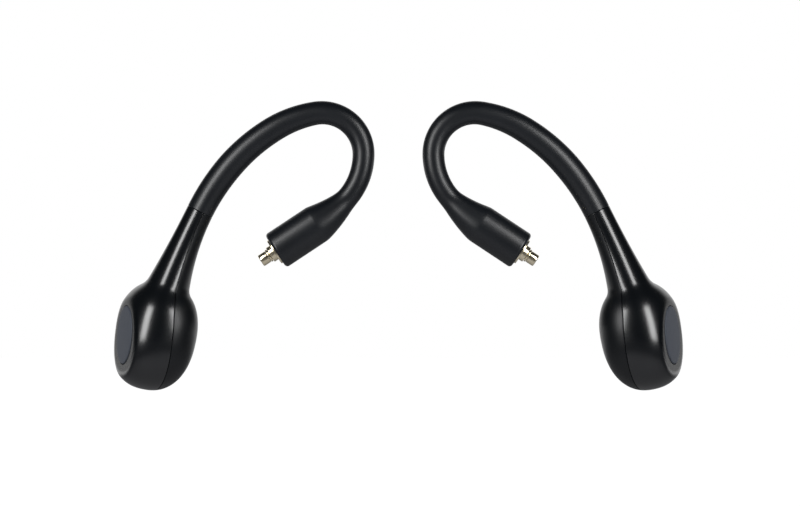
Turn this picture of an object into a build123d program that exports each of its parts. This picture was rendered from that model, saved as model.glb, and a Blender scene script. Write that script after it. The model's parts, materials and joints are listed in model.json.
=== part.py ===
from build123d import *
from math import cos, degrees, radians, sin
import os

# A pair of wireless over-ear adapters for in-ear monitors: each unit is a battery pod that sits
# behind the ear, a hook that goes over it and a push-fit coaxial plug that carries the monitor.
#
# Millimetres. +X runs from the right ear's unit to the left ear's, -Y faces the front, +Z is up.
# The hooks lie in the plane Y = 0. The origin is midway between the two units, at the height at
# which the ears carry the hooks. The right unit is modelled and the left one is its mirror image.

os.makedirs("parts", exist_ok=True)

# ---- hook: tangent bends from the neck seam, over the ear, to the shoulder of the boot ----
hook_root_x = -39.7            # centre of the seam where the hook leaves the neck
hook_root_z = -17.2
hook_root_angle = 63.7         # the hook's direction there, above +X
hook_bends = ((43.7, 14.2), (36.6, 18.3), (23.9, 20.9), (8.3, 100.6), (13.4, 42.9), (32.6, 13.3))
hook_radii = (2.70, 2.73, 2.60, 2.36, 2.20, 2.20)
boot_radius = 4.0
boot_length = 9.8
boot_rim = 0.7

# ---- neck and pod ----
neck_bend_radius = 150.0
neck_length = 20.0             # along its bend, to its end inside the pod
neck_swell_side = 0.0056       # growth of the neck's side radius with the square of its length
neck_swell_front = 0.0105      # the same towards the front and back
neck_stations = 6
pod_centre_x = -48.7
pod_centre_z = -42.3
pod_turn = 22.0                # the button side turns this far towards the front
pod_tilt = 10.0                # the egg leans this far in towards the ear
pod_half_thick = 8.05
pod_half_height = 11.0
pod_half_depth = 9.2
parting_bend_radius = 15.0
parting_angle = 84.0           # slope of the parting face below the neck
parting_reach = 30.0           # how far the splitting block runs past the pod
shell_wall = 1.0
neck_wall = 0.8
gasket_width = 0.3
gasket_height = 0.3

# ---- button and the stack behind it, measured from the pod's centre along the stack ----
stack_lean = 4.0
facet_level = 6.4
button_half_wide = 4.45
button_half_tall = 5.8
button_proud = 0.3
button_edge = 0.15
button_side_gap = 0.15
button_flange = 0.4
button_flange_thick = 0.5
button_travel = 0.3
button_well_gap = 0.15
seal_thick = 0.3
seal_gap = 0.05
switch_size = 4.0
switch_height = 1.6
plunger_radius = 0.8
plunger_gap = 0.05
plunger_engagement = 0.5
board_level = 2.5              # outer face of the board
board_thick = 0.8
processor_size = 5.0
processor_height = 0.8
processor_drop = 4.9
memory_size = 2.0
memory_height = 0.6
memory_across = 3.2
frame_height = 2.0
frame_side_gap = 0.4           # to the shell's inside
frame_end_gap = 1.2
frame_shelf = 0.6              # the board stops short of the frame's rim by this
frame_end_room = 1.2           # beyond the cell's tabs
cell_radius = 6.0
cell_thick = 4.0
cell_rise = 0.5
cell_gap = 0.2
cell_side_gap = 0.2
cell_edge = 0.4
tab_width = 1.5
tab_thick = 0.15
tab_spacing = 3.0
tab_gap = 0.05
contact_radius = 0.9
contact_spacing = 4.0
contact_rise = 0.7
contact_face = 7.9             # distance of the contacts' faces from the pod's centre
contact_side_gap = 0.05
flex_thick = 0.15
flex_width = 3.0
flex_gap = 0.15
microphone_wide = 2.6
microphone_tall = 1.9
microphone_thick = 1.0
microphone_drop = 7.1
port_radius = 0.5
gauze_radius = 0.9
gauze_thick = 0.3
gauze_seat = 9.7               # depth of the gauze's seat below the pod's centre
light_radius = 0.5
light_cell_gap = 0.22
light_angle = 233.5            # the light guide's place round the cell
light_face = 6.6
light_side_gap = 0.03
lamp_size = 1.0
lamp_height = 0.6

# ---- lead, anchor and antenna ----
lead_radius = 0.6
lead_side_gap = 0.02
lead_tail = 14.0               # how far the lead runs down the neck
wire_radius = 0.22
wire_spacing = 0.8
wire_gap = 0.2                 # from the lead's cut end
wire_landing = 0.25            # the wires' ends stand this far off the board's upper corner
anchor_radius = 1.6
anchor_bore = 0.85
anchor_depth = 4.0             # into the hook
anchor_tail = 3.5              # into the neck
anchor_collar_radius = 2.2
anchor_collar_thick = 0.8
anchor_collar_back = 1.2
anchor_gap = 0.03
antenna_width = 2.0
antenna_thick = 0.2
antenna_offset = 1.3
antenna_start = 4.0
antenna_length = 8.5

# ---- plug, measured outwards from the boot's end face ----
flange_radius = 2.7
flange_thick = 0.35
collar_radius = 1.65
collar_end = 1.3
barrel_radius = 1.25
barrel_end = 3.55
barrel_bevel = 0.25
barrel_bore = 0.95
groove_width = 0.55
groove_radius = 1.0
snap_ring_width = 0.4
snap_ring_radius = 1.42
snap_ring_gap = 0.03
snap_ring_slot = 0.5
insulator_end = 2.6
insulator_depth = 3.0
insulator_gap = 0.02
centre_pin_radius = 0.22
centre_pin_end = 3.1
plug_tail_radius = 2.0
plug_tail_length = 4.5
carrier_radius = 2.6
carrier_length = 7.0
carrier_gap = 0.02


# ---- planes and paths ----
turn = radians(pod_turn)
facing_front = Vector(sin(turn), -cos(turn), 0)
facing_out = Vector(-cos(turn), -sin(turn), 0)
pod_centre = Vector(pod_centre_x, 0, pod_centre_z)


def leaned_plane(lean):
    """Plane at the pod's centre: x to the front, y up, z out through the button and leaned up."""
    lean = radians(lean)
    return Plane(
        origin=pod_centre,
        x_dir=facing_front,
        z_dir=facing_out * cos(lean) + Vector(0, 0, sin(lean)),
    )


egg_plane = leaned_plane(pod_tilt)
stack = leaned_plane(stack_lean)

root_angle = radians(hook_root_angle)
hook_root = (hook_root_x, hook_root_z)
hook_direction = (cos(root_angle), sin(root_angle))
neck_turn = degrees(neck_length / neck_bend_radius)
lead_turn = degrees(lead_tail / neck_bend_radius)


def hook_arcs():
    """Draw the hook's bends in the current line, each tangent to the last, and return them."""
    arcs = []
    start = hook_root
    direction = hook_direction
    for bend_radius, bend_turn in hook_bends:
        arc = JernArc(start=start, tangent=direction, radius=bend_radius, arc_size=-bend_turn)
        arcs.append(arc)
        end = Plane.XZ.to_local_coords(arc @ 1)
        tangent = Plane.XZ.to_local_coords(Plane.XZ.origin + (arc % 1))
        start = (end.X, end.Y)
        direction = (tangent.X, tangent.Y)
    return arcs


with BuildLine(Plane.XZ) as hook_line:
    bends = hook_arcs()

with BuildLine(Plane.XZ) as neck_line:
    neck_arc = JernArc(
        start=hook_root,
        tangent=(-hook_direction[0], -hook_direction[1]),
        radius=neck_bend_radius,
        arc_size=neck_turn,
    )

boot_start = bends[-1] @ 1
boot_direction = bends[-1] % 1
boot_end = boot_start + boot_direction * boot_length
boot_face = Plane(origin=boot_end, x_dir=(0, 1, 0), z_dir=boot_direction)
root_plane = Plane(origin=neck_arc @ 0, x_dir=(0, 1, 0), z_dir=bends[0] % 0)


def neck_plane(distance):
    """Plane across the neck, so far down from the seam, with its x towards the front."""
    share = distance / neck_length
    axis = neck_arc % share
    front = facing_front - axis * facing_front.dot(axis)
    return Plane(origin=neck_arc @ share, x_dir=front, z_dir=axis)


def body(inset, neck_inset):
    """Pod and neck as one solid, drawn in from the outer skin by the two insets."""
    with BuildPart() as ball:
        Sphere(radius=1)
        scale(by=(pod_half_depth - inset, pod_half_height - inset, pod_half_thick - inset))
    with BuildPart() as solid:
        for station in range(neck_stations):
            distance = neck_length * station / (neck_stations - 1)
            side = hook_radii[0] + neck_swell_side * distance**2 - neck_inset
            front = hook_radii[0] + neck_swell_front * distance**2 - neck_inset
            with BuildSketch(neck_plane(distance)):
                Ellipse(front, side)
        loft()
        with Locations(egg_plane.location):
            add(ball.part)
    return solid.part


skin = body(0, 0)
cavity = body(shell_wall, neck_wall)

# Everything on the button's side of the parting face, which follows the neck and then runs on
# down through the pod.
with BuildPart() as outer_side:
    with BuildSketch(Plane.XZ):
        with BuildLine():
            top = Line(
                (hook_root_x + parting_reach * hook_direction[0],
                 hook_root_z + parting_reach * hook_direction[1]),
                hook_root,
            )
            upper = JernArc(top @ 1, top % 1, neck_bend_radius, neck_turn)
            lower = JernArc(
                upper @ 1,
                upper % 1,
                parting_bend_radius,
                parting_angle - hook_root_angle - neck_turn,
            )
            foot = Line(lower @ 1, (lower @ 1) + (lower % 1) * parting_reach)
            corner = Line(foot @ 1, (foot @ 1) - Vector(2 * parting_reach, 0))
            side = Line(corner @ 1, ((corner @ 1).X, (top @ 0).Y))
            Line(side @ 1, top @ 0)
        make_face()
    extrude(amount=parting_reach, dir=facing_front, both=True)

with BuildPart() as gasket_side:
    with Locations(Location(-facing_out * gasket_height)):
        add(outer_side.part)

# ---- shells ----
facet_plane = stack.offset(facet_level)
facet_inner = facet_level - shell_wall
flange_level = facet_inner - seal_thick - seal_gap
well_bottom = flange_level - button_flange_thick - button_travel - button_well_gap
collar_seat = root_plane.offset(-anchor_collar_back + anchor_gap)

# The room inside stops short of the button's flat, so that a full wall is left behind it.
with BuildPart() as room:
    add(cavity)
    with BuildSketch(stack.offset(facet_inner)):
        Circle(pod_half_height)
    extrude(amount=pod_half_thick, mode=Mode.SUBTRACT)

# A groove for the anchor's collar, shared by both halves of the neck.
with BuildPart() as collar_groove:
    with BuildSketch(collar_seat):
        Circle(anchor_collar_radius + anchor_gap)
    extrude(amount=-anchor_collar_thick - 2 * anchor_gap)

# The microphone's port crosses the parting face at the foot of the pod.
port_plane = Plane(stack.origin, x_dir=stack.x_dir, z_dir=-stack.y_dir)
with BuildPart() as microphone_port:
    with BuildSketch(port_plane):
        Circle(port_radius)
    extrude(amount=2 * pod_half_height)
    with BuildSketch(port_plane):
        Circle(gauze_radius)
    extrude(amount=gauze_seat)

flange_half_wide = button_half_wide + button_flange
flange_half_tall = button_half_tall + button_flange

with BuildPart() as right_outer_shell:
    add(skin)
    with BuildSketch(facet_plane):
        Circle(pod_half_height)
    extrude(amount=pod_half_thick, mode=Mode.SUBTRACT)
    add(room.part, mode=Mode.SUBTRACT)
    with BuildSketch(facet_plane):
        Ellipse(button_half_wide + button_side_gap, button_half_tall + button_side_gap)
    extrude(amount=-shell_wall, mode=Mode.SUBTRACT)
    with BuildSketch(stack.offset(facet_inner)):
        Ellipse(flange_half_wide + button_well_gap, flange_half_tall + button_well_gap)
    extrude(amount=well_bottom - facet_inner, mode=Mode.SUBTRACT)
    add(outer_side.part, mode=Mode.INTERSECT)
    add(collar_groove.part, mode=Mode.SUBTRACT)
    add(microphone_port.part, mode=Mode.SUBTRACT)

with BuildPart() as right_shell_gasket:
    add(body(shell_wall / 2 - gasket_width / 2, neck_wall / 2 - gasket_width / 2))
    add(body(shell_wall / 2 + gasket_width / 2, neck_wall / 2 + gasket_width / 2), mode=Mode.SUBTRACT)
    add(gasket_side.part, mode=Mode.INTERSECT)
    add(outer_side.part, mode=Mode.SUBTRACT)
    add(collar_groove.part, mode=Mode.SUBTRACT)
    add(microphone_port.part, mode=Mode.SUBTRACT)

contact_spots = [(0, contact_rise - contact_spacing / 2), (0, contact_rise + contact_spacing / 2)]
light_reach = cell_radius + light_cell_gap + light_radius
light_spot = (
    light_reach * cos(radians(light_angle)),
    cell_rise + light_reach * sin(radians(light_angle)),
)

with BuildPart() as right_inner_shell:
    add(skin)
    add(room.part, mode=Mode.SUBTRACT)
    add(outer_side.part, mode=Mode.SUBTRACT)
    add(collar_groove.part, mode=Mode.SUBTRACT)
    add(microphone_port.part, mode=Mode.SUBTRACT)
    add(right_shell_gasket.part, mode=Mode.SUBTRACT)
    with BuildSketch(stack):
        with Locations(*contact_spots):
            Circle(contact_radius + contact_side_gap)
        with Locations(light_spot):
            Circle(light_radius + light_side_gap)
    extrude(amount=-2 * pod_half_thick, mode=Mode.SUBTRACT)

# ---- button, its seal and the switch ----
with BuildPart() as right_button_cap:
    with BuildSketch(facet_plane.offset(button_proud)):
        Ellipse(button_half_wide, button_half_tall)
    extrude(amount=flange_level - facet_level - button_proud)
    edge = right_button_cap.faces().sort_by(Axis(stack.origin, stack.z_dir))[-1].edges()
    fillet(edge, radius=button_edge)
    with BuildSketch(stack.offset(flange_level)):
        Ellipse(flange_half_wide, flange_half_tall)
    extrude(amount=-button_flange_thick)

with BuildPart() as right_button_seal:
    with BuildSketch(stack.offset(facet_inner)):
        Ellipse(flange_half_wide, flange_half_tall)
        Ellipse(
            button_half_wide + button_side_gap,
            button_half_tall + button_side_gap,
            mode=Mode.SUBTRACT,
        )
    extrude(amount=-seal_thick)

frame_half_wide = pod_half_depth - shell_wall - frame_side_gap
frame_half_tall = pod_half_height - shell_wall - frame_end_gap
frame_opening_wide = cell_radius + cell_side_gap
frame_opening_tall = cell_rise + cell_radius + tab_gap + tab_thick + frame_end_room
board_half_wide = frame_half_wide - frame_shelf
board_half_tall = frame_half_tall - frame_shelf

plunger_top = flange_level - button_flange_thick
switch_top = board_level + switch_height
plunger_bottom = switch_top - plunger_engagement

with BuildPart() as right_switch_body:
    with BuildSketch(stack.offset(board_level)):
        Rectangle(switch_size, switch_size)
    extrude(amount=switch_height)
    with BuildSketch(stack.offset(switch_top)):
        Circle(plunger_radius + plunger_gap)
    extrude(amount=-plunger_engagement - button_travel - plunger_gap, mode=Mode.SUBTRACT)

with BuildPart() as right_switch_plunger:
    with BuildSketch(stack.offset(plunger_bottom)):
        Circle(plunger_radius)
    extrude(amount=plunger_top - plunger_bottom)

# ---- board and what stands on it ----
board_back = board_level - board_thick

with BuildPart() as right_main_board:
    with BuildSketch(stack.offset(board_level)):
        Ellipse(board_half_wide, board_half_tall)
    extrude(amount=-board_thick)

with BuildPart() as right_radio_processor:
    with BuildSketch(stack.offset(board_level)):
        with Locations((0, -processor_drop)):
            Rectangle(processor_size, processor_size)
    extrude(amount=processor_height)

with BuildPart() as right_board_chips:
    with BuildSketch(stack.offset(board_level)):
        with Locations((0, processor_drop)):
            with GridLocations(memory_across, 0, 3, 1):
                Rectangle(memory_size, memory_size)
    extrude(amount=memory_height)

with BuildPart() as right_status_lamp:
    with BuildSketch(stack.offset(board_back)):
        with Locations(light_spot):
            Rectangle(lamp_size, lamp_size)
    extrude(amount=-lamp_height)

with BuildPart() as right_light_guide:
    with BuildSketch(stack.offset(-light_face)):
        with Locations(light_spot):
            Circle(light_radius)
    extrude(amount=light_face + board_back - lamp_height)
    add(skin, mode=Mode.INTERSECT)

with BuildPart() as right_microphone:
    with BuildSketch(stack.offset(board_back)):
        with Locations((0, -microphone_drop)):
            Rectangle(microphone_wide, microphone_tall)
    extrude(amount=-microphone_thick)

with BuildPart() as right_microphone_gauze:
    with BuildSketch(port_plane.offset(gauze_seat)):
        Circle(gauze_radius)
    extrude(amount=-gauze_thick)

# ---- frame, cell and charging contacts ----
frame_back = board_back - frame_height
cell_face = frame_back - cell_gap
cell_back = cell_face - cell_thick

with BuildPart() as right_board_frame:
    with BuildSketch(stack.offset(board_back)):
        Ellipse(frame_half_wide, frame_half_tall)
        Ellipse(frame_opening_wide, frame_opening_tall, mode=Mode.SUBTRACT)
        with Locations((0, -frame_half_tall)):
            Rectangle(microphone_wide + 1, 2 * microphone_drop - frame_opening_tall, mode=Mode.SUBTRACT)
    extrude(amount=-frame_height)

with BuildPart() as right_cell:
    with BuildSketch(stack.offset(cell_face)):
        with Locations((0, cell_rise)):
            Circle(cell_radius)
    extrude(amount=-cell_thick)
    fillet(right_cell.edges().filter_by(GeomType.CIRCLE), radius=cell_edge)

tab_rise = cell_rise + cell_radius + tab_gap

with BuildPart() as right_cell_tabs:
    with BuildSketch(stack.offset(board_back)):
        with Locations((-tab_spacing / 2, tab_rise), (tab_spacing / 2, tab_rise)):
            Rectangle(tab_width, tab_thick, align=(Align.CENTER, Align.MIN))
    extrude(amount=cell_back + cell_edge - board_back)

contact_tail = cell_back - flex_gap - flex_thick

with BuildPart() as right_charging_contacts:
    with BuildSketch(stack.offset(-contact_face)):
        with Locations(*contact_spots):
            Circle(contact_radius)
    extrude(amount=contact_face + contact_tail)

with BuildPart() as right_contact_flex:
    with BuildSketch(stack.offset(contact_tail)):
        with Locations((0, contact_rise)):
            SlotOverall(contact_spacing + flex_width, flex_width, rotation=90)
    extrude(amount=flex_thick)

# ---- anchor, lead, wires and antenna in the neck ----
with BuildPart() as right_hook_anchor:
    with BuildSketch(root_plane.offset(-anchor_tail)):
        Circle(anchor_radius)
    extrude(amount=anchor_tail + anchor_depth)
    with BuildSketch(root_plane.offset(-anchor_collar_back)):
        Circle(anchor_collar_radius)
    extrude(amount=-anchor_collar_thick)
    with BuildSketch(root_plane.offset(-anchor_tail)):
        Circle(anchor_bore)
    extrude(amount=anchor_tail + anchor_depth, mode=Mode.SUBTRACT)


def tube(path_edges, radius):
    """Round solid of constant radius along tangent edges, in the order given."""
    with BuildPart() as solid:
        for edge in path_edges:
            with BuildSketch(Plane(origin=edge @ 0, x_dir=(0, 1, 0), z_dir=edge % 0)):
                Circle(radius)
            sweep(path=edge)
    return solid.part


with BuildLine(Plane.XZ) as lead_line:
    lead_neck = JernArc(
        start=hook_root,
        tangent=(-hook_direction[0], -hook_direction[1]),
        radius=neck_bend_radius,
        arc_size=lead_turn,
    )
    lead_bends = hook_arcs()

with BuildLine() as lead_boot_line:
    lead_boot = Line(boot_start, boot_end - boot_direction * plug_tail_length)

lead_edges = [lead_neck, *lead_bends, lead_boot]
lead_room = tube([*lead_bends, lead_boot], lead_radius + lead_side_gap)

with BuildPart() as right_signal_lead:
    add(tube(lead_edges, lead_radius))

board_corner = stack.from_local_coords((0, board_half_tall + wire_landing, board_level + wire_landing))
lead_end = lead_neck @ 1
wire_direction = (board_corner - lead_end).normalized()
wire_start = lead_end + wire_direction * wire_gap
wire_plane = Plane(origin=wire_start, x_dir=(0, 1, 0), z_dir=wire_direction)

with BuildPart() as right_board_wires:
    with BuildSketch(wire_plane):
        with GridLocations(wire_spacing, 0, 2, 1):
            Circle(wire_radius)
    extrude(amount=(board_corner - wire_start).length)

antenna_middle = neck_plane(antenna_start + antenna_length / 2)
with BuildPart() as right_antenna:
    with BuildSketch(antenna_middle):
        with Locations((0, antenna_offset)):
            Rectangle(antenna_width, antenna_thick)
    extrude(amount=antenna_length / 2, both=True)

# ---- hook moulding with its boot ----
with BuildPart() as right_hook_moulding:
    for index, arc in enumerate(bends):
        end_radius = boot_radius if index == len(bends) - 1 else hook_radii[index + 1]
        with BuildSketch(Plane(origin=arc @ 0, x_dir=(0, 1, 0), z_dir=arc % 0)):
            Circle(hook_radii[index])
        with BuildSketch(Plane(origin=arc @ 1, x_dir=(0, 1, 0), z_dir=arc % 1)):
            Circle(end_radius)
        sweep(path=arc, multisection=True)
    with BuildSketch(boot_face.offset(-boot_length)):
        Circle(boot_radius)
    extrude(amount=boot_length)
    flat_faces = right_hook_moulding.faces().filter_by(GeomType.PLANE)
    rim = flat_faces.sort_by(Axis(boot_start, boot_direction))[-1]
    fillet(rim.edges(), radius=boot_rim)
    with BuildSketch(root_plane):
        Circle(anchor_radius + anchor_gap)
    extrude(amount=anchor_depth + anchor_gap, mode=Mode.SUBTRACT)
    with BuildSketch(boot_face):
        Circle(carrier_radius + carrier_gap)
    extrude(amount=-carrier_length - carrier_gap, mode=Mode.SUBTRACT)
    add(lead_room, mode=Mode.SUBTRACT)

# ---- plug ----
with BuildPart() as right_plug_carrier:
    with BuildSketch(boot_face):
        Circle(carrier_radius)
    extrude(amount=-carrier_length)
    with BuildSketch(boot_face):
        Circle(plug_tail_radius + carrier_gap)
    extrude(amount=-plug_tail_length - carrier_gap, mode=Mode.SUBTRACT)
    with BuildSketch(boot_face):
        Circle(lead_radius + lead_side_gap)
    extrude(amount=-carrier_length, mode=Mode.SUBTRACT)

with BuildPart() as right_plug_shell:
    with BuildSketch(boot_face):
        Circle(plug_tail_radius)
    extrude(amount=-plug_tail_length)
    with BuildSketch(boot_face):
        Circle(flange_radius)
    extrude(amount=flange_thick)
    with BuildSketch(boot_face):
        Circle(collar_radius)
    extrude(amount=collar_end)
    with BuildSketch(boot_face):
        Circle(barrel_radius)
    extrude(amount=barrel_end)
    tip = right_plug_shell.faces().sort_by(Axis(boot_start, boot_direction))[-1]
    chamfer(tip.edges(), length=barrel_bevel)
    with BuildSketch(boot_face.offset(collar_end)):
        Circle(barrel_radius + 1)
        Circle(groove_radius, mode=Mode.SUBTRACT)
    extrude(amount=groove_width, mode=Mode.SUBTRACT)
    with BuildSketch(boot_face.offset(barrel_end)):
        Circle(barrel_bore)
    extrude(amount=-barrel_end - insulator_depth, mode=Mode.SUBTRACT)

with BuildPart() as right_snap_ring:
    with BuildSketch(boot_face.offset(collar_end + (groove_width - snap_ring_width) / 2)):
        Circle(snap_ring_radius)
        Circle(groove_radius + snap_ring_gap, mode=Mode.SUBTRACT)
        Rectangle(2 * snap_ring_radius, snap_ring_slot, align=(Align.MIN, Align.CENTER), mode=Mode.SUBTRACT)
    extrude(amount=snap_ring_width)

with BuildPart() as right_plug_insulator:
    with BuildSketch(boot_face.offset(-insulator_depth)):
        Circle(barrel_bore - insulator_gap)
        Circle(centre_pin_radius + insulator_gap, mode=Mode.SUBTRACT)
    extrude(amount=insulator_depth + insulator_end)

with BuildPart() as right_centre_pin:
    with BuildSketch(boot_face.offset(-insulator_depth)):
        Circle(centre_pin_radius)
    extrude(amount=insulator_depth + centre_pin_end)

# ---- both units ----
pieces = {
    "outer_shell": right_outer_shell,
    "inner_shell": right_inner_shell,
    "shell_gasket": right_shell_gasket,
    "button_cap": right_button_cap,
    "button_seal": right_button_seal,
    "switch_body": right_switch_body,
    "switch_plunger": right_switch_plunger,
    "main_board": right_main_board,
    "radio_processor": right_radio_processor,
    "board_chips": right_board_chips,
    "status_lamp": right_status_lamp,
    "light_guide": right_light_guide,
    "microphone": right_microphone,
    "microphone_gauze": right_microphone_gauze,
    "board_frame": right_board_frame,
    "cell": right_cell,
    "cell_tabs": right_cell_tabs,
    "charging_contacts": right_charging_contacts,
    "contact_flex": right_contact_flex,
    "hook_anchor": right_hook_anchor,
    "signal_lead": right_signal_lead,
    "board_wires": right_board_wires,
    "antenna": right_antenna,
    "hook_moulding": right_hook_moulding,
    "plug_carrier": right_plug_carrier,
    "plug_shell": right_plug_shell,
    "snap_ring": right_snap_ring,
    "plug_insulator": right_plug_insulator,
    "centre_pin": right_centre_pin,
}

for piece_name, piece in pieces.items():
    with BuildPart() as twin:
        mirror(piece.part, about=Plane.YZ)
    piece.part.label = "right_" + piece_name
    twin.part.label = "left_" + piece_name
    export_step(piece.part, f"parts/{piece.part.label}.step")
    export_step(twin.part, f"parts/{twin.part.label}.step")

barrel_length = barrel_end - barrel_bevel - collar_end - groove_width
barrel_middle = barrel_end - barrel_bevel - barrel_length / 2
for name, point, axis in (
    ("boot end", boot_end, boot_direction),
    ("plug tip", boot_end + boot_direction * barrel_end, boot_direction),
    (f"barrel, {barrel_length:.2f} long", boot_end + boot_direction * barrel_middle, boot_direction),
    ("button", facet_plane.origin, -stack.z_dir),
    ("contacts", stack.from_local_coords((0, contact_rise, -contact_face)), -stack.z_dir),
):
    print(f"{name}: {point.X:.4f} {point.Y:.4f} {point.Z:.4f}, axis {axis.X:.5f} {axis.Y:.5f} {axis.Z:.5f}")
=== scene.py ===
"""Pair of wireless over-ear adapters for in-ear monitors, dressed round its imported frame.

Sizes are in millimetres in the right unit's frame: X runs to the wearer's left, -Y faces the
front, Z is up and the origin is midway between the two hooks' crowns. Each piece is worked out
for the right unit, mirrored for the left one and turned into metres when its mesh is made.
"""

import json
import logging
import math
from collections.abc import Sequence
from dataclasses import dataclass
from enum import Enum

import bmesh
import bpy
import numpy as np
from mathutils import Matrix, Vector
from numpy.typing import NDArray

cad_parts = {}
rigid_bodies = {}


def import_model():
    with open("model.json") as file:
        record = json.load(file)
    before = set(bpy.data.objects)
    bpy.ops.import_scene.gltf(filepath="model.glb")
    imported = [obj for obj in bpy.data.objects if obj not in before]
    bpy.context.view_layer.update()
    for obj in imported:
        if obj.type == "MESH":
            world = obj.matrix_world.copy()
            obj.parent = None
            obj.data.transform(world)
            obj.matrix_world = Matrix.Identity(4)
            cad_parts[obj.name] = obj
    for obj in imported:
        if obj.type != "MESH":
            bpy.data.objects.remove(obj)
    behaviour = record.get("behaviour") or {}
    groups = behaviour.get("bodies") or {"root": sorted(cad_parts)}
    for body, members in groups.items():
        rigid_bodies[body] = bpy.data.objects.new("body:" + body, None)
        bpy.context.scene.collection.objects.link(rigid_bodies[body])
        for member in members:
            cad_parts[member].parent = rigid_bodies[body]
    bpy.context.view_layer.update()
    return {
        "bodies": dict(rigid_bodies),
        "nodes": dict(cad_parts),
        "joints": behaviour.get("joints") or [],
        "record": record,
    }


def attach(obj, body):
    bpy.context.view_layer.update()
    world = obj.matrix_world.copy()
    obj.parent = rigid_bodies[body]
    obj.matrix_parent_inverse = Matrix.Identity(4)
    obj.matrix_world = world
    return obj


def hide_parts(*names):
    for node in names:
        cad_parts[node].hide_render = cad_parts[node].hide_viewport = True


Points = NDArray[np.float64]
Levels = Sequence[tuple[float, float]]
Tree = bpy.types.NodeTree
Socket = bpy.types.NodeSocket
LOG = logging.getLogger("ear_hooks")
METRES = 0.001
WELD = 2e-7
SLIVER = 1e-8
SHARP_ANGLE = math.radians(40.0)


class Side(Enum):
    """The two units: name of the ear and the factor that X takes."""

    RIGHT = ("right", 1.0)
    LEFT = ("left", -1.0)

    @property
    def label(self) -> str:
        """Name of the ear, which starts the names of the unit's nodes."""
        return self.value[0]

    @property
    def mirror(self) -> float:
        """Factor on X that turns the right unit's shape into this one's."""
        return self.value[1]


# Octaves of noise, and how the wave texture's bands are scaled and bent.
PATCH_DETAIL = 3.0
SPECKLE_DETAIL = 6.0
WAVE_SCALE = 1.0 / 3.0
BRUSHED_DISTORTION = 1.5


class Grain(Enum):
    """Kinds of fine surface pattern."""

    SPECKLE = "speckle"
    BRUSHED = "brushed"
    WOVEN = "woven"


# ---- small tools on arrays ----


def unit(vector: Sequence[float] | Points) -> Points:
    """The vector, scaled to length one along its last axis."""
    array = np.asarray(vector, dtype=float)
    return array / np.linalg.norm(array, axis=-1, keepdims=True)


def smoothstep(value: Points) -> Points:
    """Cubic 3t^2 - 2t^3 with t held between 0 and 1."""
    t = np.clip(value, 0.0, 1.0)
    return t * t * (3.0 - 2.0 * t)


def soft_min(first: Points, second: Points, blend: float) -> Points:
    """The lower of two fields, rounded where they are within the blend of each other.

    Formula: min(a, b) - h^2 / (4 * blend), with h = max(blend - |a - b|, 0).

    Args:
        first: One field.
        second: The other field.
        blend: Width of the rounding.

    Returns:
        The blended field.
    """
    overlap = np.maximum(blend - np.abs(first - second), 0.0)
    return np.minimum(first, second) - overlap * overlap / (4.0 * blend)


def soft_max(first: Points, second: Points, blend: float) -> Points:
    """The higher of two fields, rounded in the same way as soft_min."""
    return -soft_min(-first, -second, blend)


def quads_of(rows: int, columns: int, close_rows: bool) -> NDArray[np.int64]:
    """Corner numbers of the quads of a grid of rings whose points are numbered row by row.

    Args:
        rows: Number of rows of points.
        columns: Number of points in a row.
        close_rows: Whether the last row joins the first.

    Returns:
        An array of four corner numbers for each quad.
    """
    row = np.arange(rows if close_rows else rows - 1)
    column = np.arange(columns)
    low, left = np.meshgrid(row, column, indexing="ij")
    high, right = (low + 1) % rows, (left + 1) % columns
    pairs = [(low, left), (low, right), (high, right), (high, left)]
    return np.stack([y * columns + x for y, x in pairs], axis=-1).reshape(-1, 4)


def make_piece(
    name: str,
    points: Points,
    side: Side,
    material: bpy.types.Material,
    close_rows: bool = False,
) -> bpy.types.Object:
    """Turn a grid of points into a closed mesh object that stands at the origin.

    Rows that shrink to a point become poles, and the faces are turned outwards.

    Args:
        name: Name of the new piece.
        points: Grid of points, rows by columns by three, for the right unit in millimetres.
        side: The unit that the piece belongs to.
        material: Its finish.
        close_rows: Whether the last row joins the first.

    Returns:
        The object, linked to the scene.
    """
    rows, columns = points.shape[:2]
    place = points.reshape(-1, 3) * (side.mirror * METRES, METRES, METRES)
    mesh = bpy.data.meshes.new(name)
    mesh.from_pydata(place.tolist(), [], quads_of(rows, columns, close_rows).tolist())
    shape = bmesh.new()
    shape.from_mesh(mesh)
    bmesh.ops.remove_doubles(shape, verts=shape.verts, dist=WELD)
    bmesh.ops.dissolve_degenerate(shape, edges=shape.edges, dist=SLIVER)
    bmesh.ops.recalc_face_normals(shape, faces=shape.faces)
    shape.to_mesh(mesh)
    shape.free()
    mesh.materials.append(material)
    mesh.shade_smooth()
    mesh.set_sharp_from_angle(angle=SHARP_ANGLE)
    piece = bpy.data.objects.new(name, mesh)
    bpy.context.scene.collection.objects.link(piece)
    return piece


def carve(piece: bpy.types.Object, cutters: Sequence[bpy.types.Object]) -> None:
    """Cut closed shapes out of a piece, keep the result as its mesh and drop the cutters.

    Args:
        piece: The piece to cut.
        cutters: Closed shapes in the same frame.
    """
    for cutter in cutters:
        cut = piece.modifiers.new("cut", "BOOLEAN")
        cut.operation = "DIFFERENCE"
        cut.solver = "MANIFOLD"
        cut.object = cutter
    bpy.context.view_layer.update()
    graph = bpy.context.evaluated_depsgraph_get()
    result = bpy.data.meshes.new_from_object(piece.evaluated_get(graph))
    piece.modifiers.clear()
    piece.data = result
    result.shade_smooth()
    result.set_sharp_from_angle(angle=SHARP_ANGLE)
    for cutter in cutters:
        bpy.data.objects.remove(cutter)


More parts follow.
